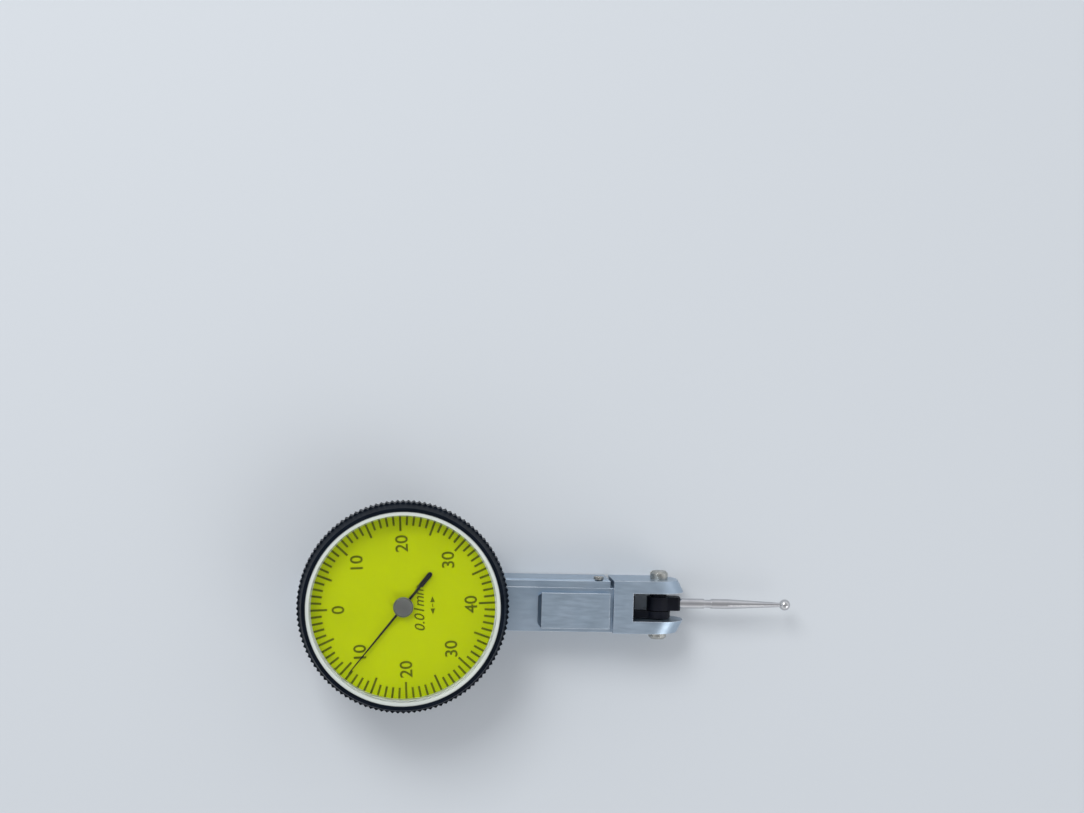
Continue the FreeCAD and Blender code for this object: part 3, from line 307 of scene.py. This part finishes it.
def lathe(name, profile, material, smooth_from=math.inf):
    """A round piece about the dial's axis from radius and height pairs.

    The profile closes on its first point or ends on the axis, and its faces are smooth from one step on.
    """
    build = bmesh.new()
    turns = [2 * math.pi * side / LATHE_SIDES for side in range(LATHE_SIDES)]
    rings = []
    for reach, height in profile:
        corners = [(reach * MM * math.cos(turn), reach * MM * math.sin(turn), height * MM)
                   for turn in (turns if reach else turns[:1])]
        rings.append([build.verts.new(corner) for corner in corners])
    for step in range(len(rings) - 1):
        below, above = rings[step], rings[step + 1]
        for side in range(LATHE_SIDES):
            following = (side + 1) % LATHE_SIDES
            corners = [below[side % len(below)], below[following % len(below)],
                       above[following % len(above)], above[side % len(above)]]
            face = build.faces.new(list(dict.fromkeys(corners)))
            face.smooth = step >= smooth_from
    bmesh.ops.remove_doubles(build, verts=build.verts, dist=SEAM_GAP)
    bmesh.ops.recalc_face_normals(build, faces=build.faces)
    for edge in build.edges:
        edge.smooth = all(face.smooth for face in edge.link_faces)
    mesh = bpy.data.meshes.new(name)
    build.to_mesh(mesh)
    build.free()
    return add_piece(name, mesh, material, "bezel")


def edge_ring_and_crystal():
    """The ring that stands on the dial's rim and the crowned disc that lies on its ledge."""
    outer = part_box("dial_ring")[1].x / MM - RING_FIT
    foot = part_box("dial")[1].z / MM + RING_FIT
    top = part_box("bezel")[1].z / MM - RING_DROP
    ledge = foot + RING_RISE
    ring = lathe("edge_ring", [
        (outer, foot), (RING_FOOT, foot),
        (RING_LEDGE, ledge - RING_EDGE), (RING_LEDGE + RING_EDGE, ledge),
        (RING_BORE, ledge), (RING_BORE, top - RING_EDGE), (RING_BORE + RING_EDGE, top),
        (outer - RING_EDGE, top), (outer, top - RING_EDGE), (outer, foot)], "ring_grey")
    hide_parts("dial_ring")
    radius = RING_BORE - LENS_FIT
    flat = radius - LENS_EDGE
    bottom = ledge + LENS_FIT
    shoulder = top - LENS_CROWN - LENS_EDGE
    rim = [(0, bottom), (flat, bottom), (radius, bottom + LENS_EDGE), (radius, shoulder)]
    shares = [1 - step / LENS_RINGS for step in range(LENS_RINGS + 1)]
    crown = [(flat * share, top - LENS_CROWN * share ** 2) for share in shares]
    lens = lathe("crystal_lens", rim + crown, "clear", smooth_from=len(rim))
    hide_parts("crystal")


edge_ring_and_crystal()


# The printing on the dial, in millimetres

DIAL_TURN = math.radians(3.5)
PRINT_GAP = 0.004
PRINT_THICKNESS = 0.012
GRADUATIONS = 80
LONG_EVERY = 5
TICK_OUTER = 16.12
TICK_INNER = 14.2
LONG_INNER = 13.2
TICK_WIDTH = 0.38
CURVE_STEPS = 6
# A face of a character is a wall where the level part of its normal is longer than this
WALL_LEVEL = 0.5
NUMERAL_SIZE = 3.05
NUMERAL_WEIGHT = 0.045
UNIT_SIZE = 2.5
UNIT_WEIGHT = 0.028
UNIT_LEAN = 0.25
UNIT_PLACE = (2.85, -0.46)
ARROW_PLACE = 5.13
ARROW_HALF = 0.42
ARROW_START = 0.55
ARROW_END = 1.62
ARROW_DASH = (0.07, 0.28)

print_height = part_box("dial")[1].z + PRINT_GAP * MM


def place_on_dial(across, up):
    """A point of the dial's own layout, where its zero lies toward -X, turned as the dial is."""
    turned = Matrix.Rotation(DIAL_TURN, 3, "Z") @ Vector((across * MM, up * MM, 0))
    turned.z = print_height
    return turned


def printed(name, outlines):
    """One thin mesh of closed prisms that stand on flat outlines on the dial."""
    mesh = bpy.data.meshes.new(name)
    build = bmesh.new()
    rise = Vector((0, 0, PRINT_THICKNESS * MM))
    for outline in outlines:
        below = [build.verts.new(place_on_dial(*point)) for point in outline]
        above = [build.verts.new(corner.co + rise) for corner in below]
        build.faces.new(below)
        build.faces.new(above)
        for index in range(len(outline)):
            build.faces.new((below[index - 1], below[index], above[index], above[index - 1]))
    bmesh.ops.recalc_face_normals(build, faces=build.faces)
    build.to_mesh(mesh)
    build.free()
    add_piece(name, mesh, "dial_ink", "bezel")


def graduation(number):
    """The four corners of one graduation, counted from the zero."""
    angle = math.pi + 2 * math.pi * number / GRADUATIONS
    inner = LONG_INNER if number % LONG_EVERY == 0 else TICK_INNER
    along = Vector((math.cos(angle), math.sin(angle)))
    side = Vector((-along.y, along.x)) * TICK_WIDTH / 2
    return [tuple(along * inner - side), tuple(along * TICK_OUTER - side),
            tuple(along * TICK_OUTER + side), tuple(along * inner + side)]


def characters(name, words, size, lean):
    """The outlines of some characters as one thin closed mesh."""
    curve = bpy.data.curves.new(name, "FONT")
    curve.body = words
    curve.size = size * MM
    curve.align_x = "CENTER"
    curve.align_y = "CENTER"
    curve.extrude = PRINT_THICKNESS * MM / 2
    curve.shear = lean
    curve.resolution_u = CURVE_STEPS
    drawn = bpy.data.objects.new(name, curve)
    mesh = bpy.data.meshes.new_from_object(drawn)
    bpy.data.objects.remove(drawn)
    bpy.data.curves.remove(curve)
    return mesh


def is_wall(face):
    """Whether a face of a character stands upright, and isn't part of its top or bottom."""
    return face.normal.xy.length > WALL_LEVEL


def embolden(mesh, weight):
    """Move every outline out by the weight, so that strokes widen and openings narrow."""
    build = bmesh.new()
    build.from_mesh(mesh)
    bmesh.ops.remove_doubles(build, verts=build.verts, dist=SEAM_GAP)
    bmesh.ops.recalc_face_normals(build, faces=build.faces)
    flats = [face for face in build.faces if not is_wall(face)]
    seams = [edge for edge in build.edges if not any(is_wall(face) for face in edge.link_faces)]
    moves = []
    for corner in build.verts:
        first, second = (face.normal.copy() for face in corner.link_faces if is_wall(face))
        moves.append((corner, (first + second) * weight * MM / (1 + first.dot(second))))
    for corner, move in moves:
        corner.co += move
    bmesh.ops.beautify_fill(build, faces=flats, edges=seams)
    build.to_mesh(mesh)
    build.free()


def lettering(name, words, across, up, size, weight, lean=0.0):
    """Printed characters whose tops point toward the dial's zero."""
    mesh = characters(name, words, size, lean)
    embolden(mesh, weight)
    piece = add_piece(name, mesh, "dial_ink", "bezel")
    piece.rotation_euler.z = math.pi / 2 + DIAL_TURN
    piece.location = place_on_dial(across, up)


def turn_arrows():
    """Two small triangles that point apart, with a short dash between them."""
    half, length = ARROW_DASH
    outlines = [[(ARROW_PLACE - half, -length), (ARROW_PLACE + half, -length),
                 (ARROW_PLACE + half, length), (ARROW_PLACE - half, length)]]
    for sign in (1, -1):
        outlines.append([(ARROW_PLACE - ARROW_HALF, sign * ARROW_START),
                         (ARROW_PLACE + ARROW_HALF, sign * ARROW_START),
                         (ARROW_PLACE, sign * ARROW_END)])
    printed("turn_arrows", outlines)


# Each numeral: its piece, its digits and its place across and up the dial
NUMERALS = (
    ("numeral_0", "0", -11.2, -0.1),
    ("numeral_10_far", "10", -7.7, 7.8),
    ("numeral_20_far", "20", 0.23, 11.0),
    ("numeral_30_far", "30", 8.2, 7.8),
    ("numeral_40", "40", 11.93, -0.1),
    ("numeral_30_near", "30", 8.2, -7.8),
    ("numeral_20_near", "20", 0.23, -11.0),
    ("numeral_10_near", "10", -7.7, -7.8),
)
printed("dial_graduations", [graduation(number) for number in range(GRADUATIONS)])
for name, words, across, up in NUMERALS:
    lettering(name, words, across, up, NUMERAL_SIZE, NUMERAL_WEIGHT)
lettering("unit_line", "0.01mm", *UNIT_PLACE, UNIT_SIZE, UNIT_WEIGHT, UNIT_LEAN)
turn_arrows()


# The floor, the light and the camera

# The floor and the lamps are in metres and watts
FLOOR_HALF = 3.0
FLOOR_COLOUR = (0.57, 0.60, 0.63, 1.0)
FLOOR_ROUGHNESS = 0.9
LAMP_AIM = (0.02, 0, 0)
LAMPS = (
    dict(name="key", place=(-0.22, 0.42, 0.50), width=0.30, power=2.3),
    dict(name="fill", place=(0.45, -0.35, 0.45), width=0.40, power=0.8),
)
# The sky's brightness by its height, from the horizon at 0 to overhead at 1
SKY = ((0.0, 0.80), (0.35, 1.0), (0.75, 0.65), (1.0, 0.42))
SKY_TINT = (0.97, 0.99, 1.03)
# The camera is in millimetres
SENSOR_WIDTH = 36.0
FOCAL_LENGTH = 57.95
CLIP_START = 10
CAMERA_PLACE = (-1.26, 41.77, 317.4)
CAMERA_AIM = (24.38, 35.25, 0.0)
# Where the picture's right side lies, roughly: it is made square to the view
CAMERA_RIGHT = (0.99644, 0.02689, 0.07995)


def stage_floor():
    """The pale floor that the part lies on."""
    mesh = bpy.data.meshes.new("floor")
    half = FLOOR_HALF
    corners = [(-half, -half, 0), (half, -half, 0), (half, half, 0), (-half, half, 0)]
    mesh.from_pydata(corners, [], [(0, 1, 2, 3)])
    floor = bpy.data.objects.new("floor", mesh)
    bpy.context.scene.collection.objects.link(floor)
    material = bpy.data.materials.new("floor")
    material.use_nodes = True
    shader = material.node_tree.nodes["Principled BSDF"]
    shader.inputs["Base Color"].default_value = FLOOR_COLOUR
    shader.inputs["Roughness"].default_value = FLOOR_ROUGHNESS
    mesh.materials.append(material)


def soft_lamp(name, place, width, power):
    """A square lamp that looks at the part."""
    data = bpy.data.lights.new(name, "AREA")
    data.shape = "SQUARE"
    data.size = width
    data.energy = power
    lamp = bpy.data.objects.new(name, data)
    bpy.context.scene.collection.objects.link(lamp)
    lamp.location = place
    lamp.rotation_euler = (Vector(LAMP_AIM) - Vector(place)).to_track_quat("-Z", "Y").to_euler()


def pale_world():
    """A soft grey sky, brightest a little above the horizon and dimmer overhead."""
    world = bpy.data.worlds.new("pale")
    world.use_nodes = True
    tree = world.node_tree
    place = add_node(tree, "ShaderNodeTexCoord")
    height = add_node(tree, "ShaderNodeSeparateXYZ")
    link(tree, place, "Generated", height, "Vector")
    ramp = add_node(tree, "ShaderNodeValToRGB")
    stops = ramp.color_ramp.elements
    for level, _ in SKY[1:-1]:
        stops.new(level)
    for stop, (level, light) in zip(stops, SKY):
        stop.position = level
        stop.color = (*(light * tint for tint in SKY_TINT), 1.0)
    link(tree, height, "Z", ramp, "Fac")
    link(tree, ramp, "Color", tree.nodes["Background"], "Color")
    bpy.context.scene.world = world


def overhead_camera():
    """The camera high over the dial's far side, its view tipped a little toward the stylus."""
    data = bpy.data.cameras.new("camera")
    data.sensor_width = SENSOR_WIDTH
    data.lens = FOCAL_LENGTH
    data.clip_start = CLIP_START * MM
    camera = bpy.data.objects.new("camera", data)
    bpy.context.scene.collection.objects.link(camera)
    place = Vector(CAMERA_PLACE) * MM
    aim = Vector(CAMERA_AIM) * MM
    back = (place - aim).normalized()
    right = Vector(CAMERA_RIGHT)
    right = (right - back * right.dot(back)).normalized()
    up = back.cross(right)
    turn = Matrix((right, up, back)).transposed()
    camera.matrix_world = Matrix.Translation(place) @ turn.to_4x4()
    bpy.context.scene.camera = camera


stage_floor()
pale_world()
for lamp in LAMPS:
    soft_lamp(**lamp)
overhead_camera()
bpy.context.scene.view_settings.view_transform = "Standard"
